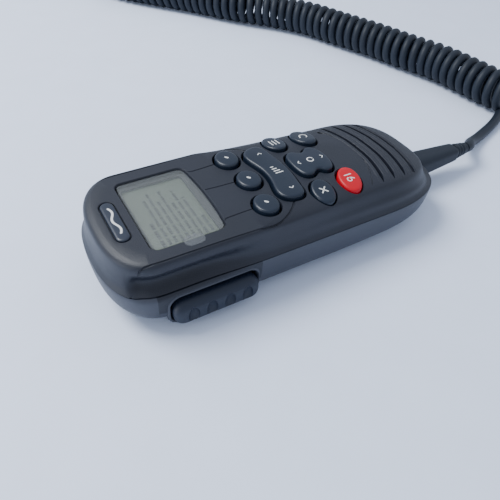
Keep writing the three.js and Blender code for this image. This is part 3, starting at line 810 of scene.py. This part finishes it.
front_mesh = cut_away(case_half(FRONT_PROFILE, FRONT_SHAPE, FRONT_START, face_z, (13, 21, 29)),
                      front_cutters(), "front_shell")
piece("front_shell", front_mesh, "case", replaces=["front_cover"])
rear_mesh = cut_away(case_half(REAR_PROFILE, REAR_SHAPE, REAR_START, back_z, (17, 24, 30)),
                     rear_cutters(), "rear_shell")


def split_off(mesh, name, inside):
    """The mesh as two: its faces outside a region, and those inside it."""
    halves = []
    for drop_inside in (True, False):
        bm = bmesh.new()
        bm.from_mesh(mesh)
        gone = [f for f in bm.faces if inside(*(f.calc_center_median() / MM)) == drop_inside]
        bmesh.ops.delete(bm, geom=gone, context="FACES")
        part = bpy.data.meshes.new(name)
        bm.to_mesh(part)
        bm.free()
        part.set_sharp_from_angle(angle=math.radians(32))
        halves.append(part)
    return halves


# The rear cover's strip above the pad takes the darker case plastic instead of the rear plastic's
# painted floor light: painted shade for the scoop's shadow.
rear_mesh, shaded_hood_mesh = split_off(
    rear_mesh, "rear_part", lambda x, y, z: y < -22 and -65 < x < -18 and z > 11)
piece("rear_shell", rear_mesh, "rear_case", replaces=["rear_cover"])
piece("pad_hood_in_shade", shaded_hood_mesh, "case")
RIB_SECTION = [(-1.2, -0.9), (-0.95, 0), (-0.45, 0.3), (0.3, 0.33), (0.85, 0.05), (1.2, -0.9)]
for i, (x, half_span) in enumerate((*SLOTS, SHALLOW_SLOT)):
    for side in (-1, 1):
        rib_line = arc_line(x + 1.9 * side, half_span + 2.6 - 0.5 * side)
        piece("grille_rib_%d%s" % (i + 1, "ab"[side > 0]),
              swept("grille_rib", rib_line, RIB_SECTION, taper=9), "case")

# ---------------------------------------------------------------- push-to-talk pad

PAD_GROOVES = [PTT_X[0] + 7.6 + 8.2 * i for i in range(4)]


def ptt_pad():
    levels = [(-28.4, 0, 15.6), (-33.4, 0, 15.6), (-34.4, 0, 15.4), (-35.5, -0.35, 14.8),
              (-36.3, -0.9, 14), (-36.9, -1.6, 13.1), (-37.3, -2.6, 11.9), (-37.4, -3.6, 10.9)]
    blank = lofted("ptt_pad", [ptt_ring(y, margin, top) for y, margin, top in levels], 60)
    dimples = []
    for x in PAD_GROOVES:
        rings = []
        for i in range(13):
            t = math.pi * (i + 0.02) / 12.04
            radius = math.sin(t)
            rings.append([(x + 2.7 * radius * a, -38.3 + 2.7 * radius * b,
                           9.2 - 5 * math.cos(t)) for a, b in circle_section(1, 24)])
        dimples.append(lofted("dimple", rings))
    return cut_away(blank, dimples, "ptt_pad")


piece("ptt_pad", ptt_pad(), "ptt_rubber", "ptt_body", ["ptt_button"])


def ptt_lining():
    """A rounded lip round the opening, open in the middle."""
    section = [(-27.4, 0.5), (-27.4, 1.9), (-31.5, 1.9), (-32.6, 1.7), (-33.2, 1.3), (-33.3, 0.95),
               (-32.9, 0.6), (-31.8, 0.5)]
    rings = [ptt_ring(y, margin, PTT_OPEN_TOP - 0.5 + margin) for y, margin in section]
    bm = bmesh.new()
    made = add_rings(bm, rings)
    first, last = made[0], made[-1]
    for i in range(len(first)):
        j = (i + 1) % len(first)
        bm.faces.new((last[i], last[j], first[j], first[i]))
    return mesh_of(bm, "ptt_lining")


piece("ptt_lining", ptt_lining(), "rear_case", replaces=["ptt_bezel"])

# ---------------------------------------------------------------- keys

KEY_TOP = 38
ROCKER_TOP = 38.1


def lean(p, z):
    """How far a key stands lower towards the edge of the face, as the face does."""
    return 0.16 * max(0, abs(p[1]) - 14) * ease(z, 34, 37) if p[0] > 12 else 0


def key_cap(name, outline, top):
    """Key with a rounded rim and a slightly crowned top that follows the face."""
    levels = [(30.6, 0.2), (32.6, 0.2), (32.8, 0), (top - 1.2, 0), (top - 0.85, -0.06),
              (top - 0.5, -0.24), (top - 0.25, -0.52), (top - 0.1, -0.9), (top, -1.5)]
    return lofted(name, [[(*p, z - lean(p, z)) for p in grown(outline, by)] for z, by in levels],
                  60)


for name, (outline, body) in KEYS.items():
    top = ROCKER_TOP if "rocker" in name else KEY_TOP
    slot = "red_key" if name == "red_key" else "key"
    piece(name + "_cap", key_cap(name + "_cap", outline, top), slot, body, [name])

# ---------------------------------------------------------------- legends

LEGEND_LIFT = 0.03


def stroke_rings(points, width, z):
    """Outline rings of a round-ended stroke through points of the plan."""
    points = [Vector(p) for p in points]
    left, right = [], []
    last = len(points) - 1
    for i, p in enumerate(points):
        ahead = (points[min(i + 1, last)] - points[max(i - 1, 0)]).normalized()
        side = Vector((-ahead.y, ahead.x)) * width / 2
        if i == 0:
            for k in range(1, 5):
                t = math.pi / 2 * (1 - k / 5)
                left.append(p - ahead * width / 2 * math.sin(t) + side * math.cos(t))
        left.append(p + side)
        right.append(p - side)
    tip = (points[-1] - points[-2]).normalized()
    side = Vector((-tip.y, tip.x)) * width / 2
    end = [points[-1] + side * math.cos(t) + tip * width / 2 * math.sin(t)
           for t in (math.pi * k / 8 for k in range(1, 8))]
    outline = left + end + right[::-1]
    return [[(*p, z - low - lean(p, z)) for p in outline] for low in (0.1, 0)]


def legend(name, strokes, width, z, body):
    """Flat marks printed on a key: each stroke is a list of points of the plan."""
    bm = bmesh.new()
    for points in strokes:
        made = add_rings(bm, stroke_rings(points, width, z + LEGEND_LIFT))
        bm.faces.new(made[0])
        bm.faces.new(made[1])
    piece(name, mesh_of(bm, name), "light_guide", body)


def arc(cx, cy, radius, start, end, count=14):
    step = math.radians(end - start) / count
    return [(cx + radius * math.cos(math.radians(start) + i * step),
             cy + radius * math.sin(math.radians(start) + i * step)) for i in range(count + 1)]


def chevron(x, y, dx, dy):
    """Two strokes that meet at a point facing along (dx, dy)."""
    return [(x - dx - dy, y - dy + dx), (x, y), (x - dx + dy, y - dy - dx)]


legend("soft_mark_right", [[(-10.2, -17.3), (-9.4, -18.1)]], 1, KEY_TOP, "soft_key_right_body")
legend("soft_mark_centre", [[(-8.6, 0.6), (-7.8, -0.2)]], 1, KEY_TOP, "soft_key_centre_body")
legend("soft_mark_left", [[(-10.2, 18.5), (-9.4, 17.7)]], 1, KEY_TOP, "soft_key_left_body")
legend("volume_marks",
       [chevron(5.3, 14.6, 0, 0.95), chevron(5.3, -14.6, 0, -0.95)],
       0.5, ROCKER_TOP, "volume_body")
legend("volume_bars",
       [[(4.4, 2.4), (5.6, 2.4)], [(4.4, 0.8), (6.4, 0.8)], [(4.4, -0.8), (7.2, -0.8)],
        [(4.4, -2.4), (8, -2.4)]],
       0.6, ROCKER_TOP, "volume_body")
legend("channel_marks",
       [chevron(17.8, 0, -0.95, 0), chevron(31.6, 0, 0.95, 0)],
       0.5, ROCKER_TOP, "channel_body")
legend("channel_ring", [arc(24.6, 0, 1.5, 20, 340)], 0.55, ROCKER_TOP, "channel_body")
legend("menu_bars",
       [[(x, 23.2), (x, 18.8)] for x in (16, 17.8, 19.6)],
       0.55, KEY_TOP, "menu_key_body")
legend("scan_mark",
       [arc(33.7, 19.4, 1.9, -60, 150), [(31.6, 18.6), (32.4, 20.6)]],
       0.55, KEY_TOP, "scan_key_body")
legend("clear_mark",
       [[(16.4, -19.2), (19.2, -22)], [(19.2, -19.2), (16.4, -22)]],
       0.6, KEY_TOP, "clear_key_body")
legend("red_numeral",
       [[(31.9, -16.8), (35.3, -16.8)],
        arc(32.9, -19.6, 1.05, 0, 340), [(33.2, -18.6), (34.4, -18.9), (35.4, -19.7)]],
       0.55, KEY_TOP, "red_key_body")

# ---------------------------------------------------------------- display and badge

piece("lcd_face",
      stacked("lcd_face", rounded_box(-46.5, 0, 31.4, 44, 0.6), [(30.4, 0), (32.3, 0)]),
      "lcd", replaces=["lcd_panel"])

ROW_PITCH = 2.65
ROW_LENGTHS = (15, 31, 34, 27, 33, 24, 32, 26, 12)
PAGE_Z = 32.36


def page_rows(z):
    """Rows of plain dashes across the display, the first one bolder."""
    bm = bmesh.new()
    for row, reach in enumerate(ROW_LENGTHS):
        x = -55.8 + row * ROW_PITCH
        half = 0.8 if row == 0 else 0.6
        along = 0.3 * (row % 3)
        step = 0
        while along < reach:
            length = 0.7 + 0.5 * math.sin(2.1 * step + 1.7 * row) ** 2
            y = -18.6 + along
            made = add_rings(bm, [
                [(x - half, y, low), (x + half, y, low), (x + half, y + length, low),
                 (x - half, y + length, low)] for low in (z - 0.05, z)])
            bm.faces.new(made[0])
            bm.faces.new(made[1])
            step += 1
            along += length + (1.3 if step % 4 == 3 else 0.45)
    return mesh_of(bm, "page_rows")


piece("page_rows", page_rows(PAGE_Z), "rubber")
piece("window_glaze",
      stacked("window_glaze", grown(WINDOW, -0.35), [(33.9, 0), (35.0, 0), (35.2, -0.2)]),
      "window", replaces=["display_window"])
piece("film_sheet",
      stacked("film_sheet", grown(WINDOW, -0.5), [(35.5, 0), (35.62, 0), (35.7, -0.15)]),
      "film", replaces=["window_film"])
piece("film_tab",
      stacked("film_tab", rounded_box(-45.5, -23.6, 8.6, 5.6, 2.6),
              [(36.32, 0), (36.5, 0), (36.6, -0.2)]),
      "film")
piece("badge_plate",
      stacked("badge_plate", BADGE,
              [(35.3, 0), (36.0, 0), (36.3, -0.25), (36.45, -0.7), (36.5, -1.3)], 60),
      "badge", replaces=["badge"])
wave = [(-69.3 + 0.8 * math.sin(k / 32 * 3 * math.pi), -8 + 16 * k / 32) for k in range(33)]
legend("badge_wave", [wave], 0.9, 36.5, "handset")

# ---------------------------------------------------------------- strain relief

RELIEF_Z = 12.7
RELIEF = [(87.7, 7.3, 6), (92, 7.25, 5.95), (97, 7.2, 5.9), (104, 6.8, 5.6), (110, 6.35, 5.3),
          (116, 5.9, 5), (122, 5.4, 4.7), (127.2, 5, 4.4), (128.8, 4.85, 4.2), (129.5, 4.4, 3.8),
          (129.6, 3.9, 3.4)]


def squared(a, b, count=64):
    """Superellipse points (y, z) with half width a and half height b."""
    points = []
    for i in range(count):
        t = i / count * 2 * math.pi
        c, s = math.cos(t), math.sin(t)
        points.append((math.copysign(a * abs(c) ** 0.62, c), math.copysign(b * abs(s) ** 0.62, s)))
    return points


piece("relief_block",
      lofted("relief_block", [[(x, y, RELIEF_Z + z) for y, z in squared(a, b)]
                              for x, a, b in RELIEF]),
      "cord_rubber", replaces=["strain_relief"])
COLLAR = [(129.9, 3.2), (129.9, 4.1), (130.3, 4.4), (131.6, 4.4), (132, 4.1), (132.4, 3.75),
          (132.8, 4.05), (134, 4.05), (134.4, 3.75), (134.8, 3.5), (135.2, 3.75), (136.4, 3.75),
          (136.8, 3.5), (137.2, 3.3), (139, 3.3), (139.3, 3.15)]
piece("collar_sleeve",
      lofted("collar_sleeve", [[(x, r * y, RELIEF_Z + r * z) for y, z in circle_section(1, 40)]
                               for x, r in COLLAR]),
      "cord_rubber", replaces=["relief_collar"])

# ---------------------------------------------------------------- floor and light


def add_floor():
    mesh = bpy.data.meshes.new("floor")
    size = 3
    mesh.from_pydata([(-size, -size, 0), (size, -size, 0), (size, size, 0), (-size, size, 0)],
                     [], [(0, 1, 2, 3)])
    floor = bpy.data.objects.new("floor", mesh)
    SCENE.collection.objects.link(floor)
    floor.data.materials.append(
        mottled("floor_sheet", (0.735, 0.81, 0.985), 0.6, grain=120, bump=0.02, spread=0.015)
    )


def add_light(name, place, target, size, power, color=(1, 1, 1)):
    data = bpy.data.lights.new(name, "AREA")
    data.shape = "DISK"
    data.size = size
    data.energy = power
    data.color = color
    light = bpy.data.objects.new(name, data)
    SCENE.collection.objects.link(light)
    light.location = place
    light.rotation_euler = (Vector(target) - Vector(place)).to_track_quat("-Z", "Y").to_euler()


add_floor()
add_light("key_light", (-0.5, 0.5, 1.0), (0, 0, 0), 0.62, 18, (0.95, 0.98, 1))
add_light("end_light", (-1.1, 0.1, 0.2), (-0.05, 0, 0.02), 0.6, 3.5, (0.93, 0.97, 1))
world = bpy.data.worlds.new("studio")
world.use_nodes = True
world.node_tree.nodes["Background"].inputs["Color"].default_value = (0.78, 0.86, 1, 1)
world.node_tree.nodes["Background"].inputs["Strength"].default_value = 0.9
SCENE.world = world
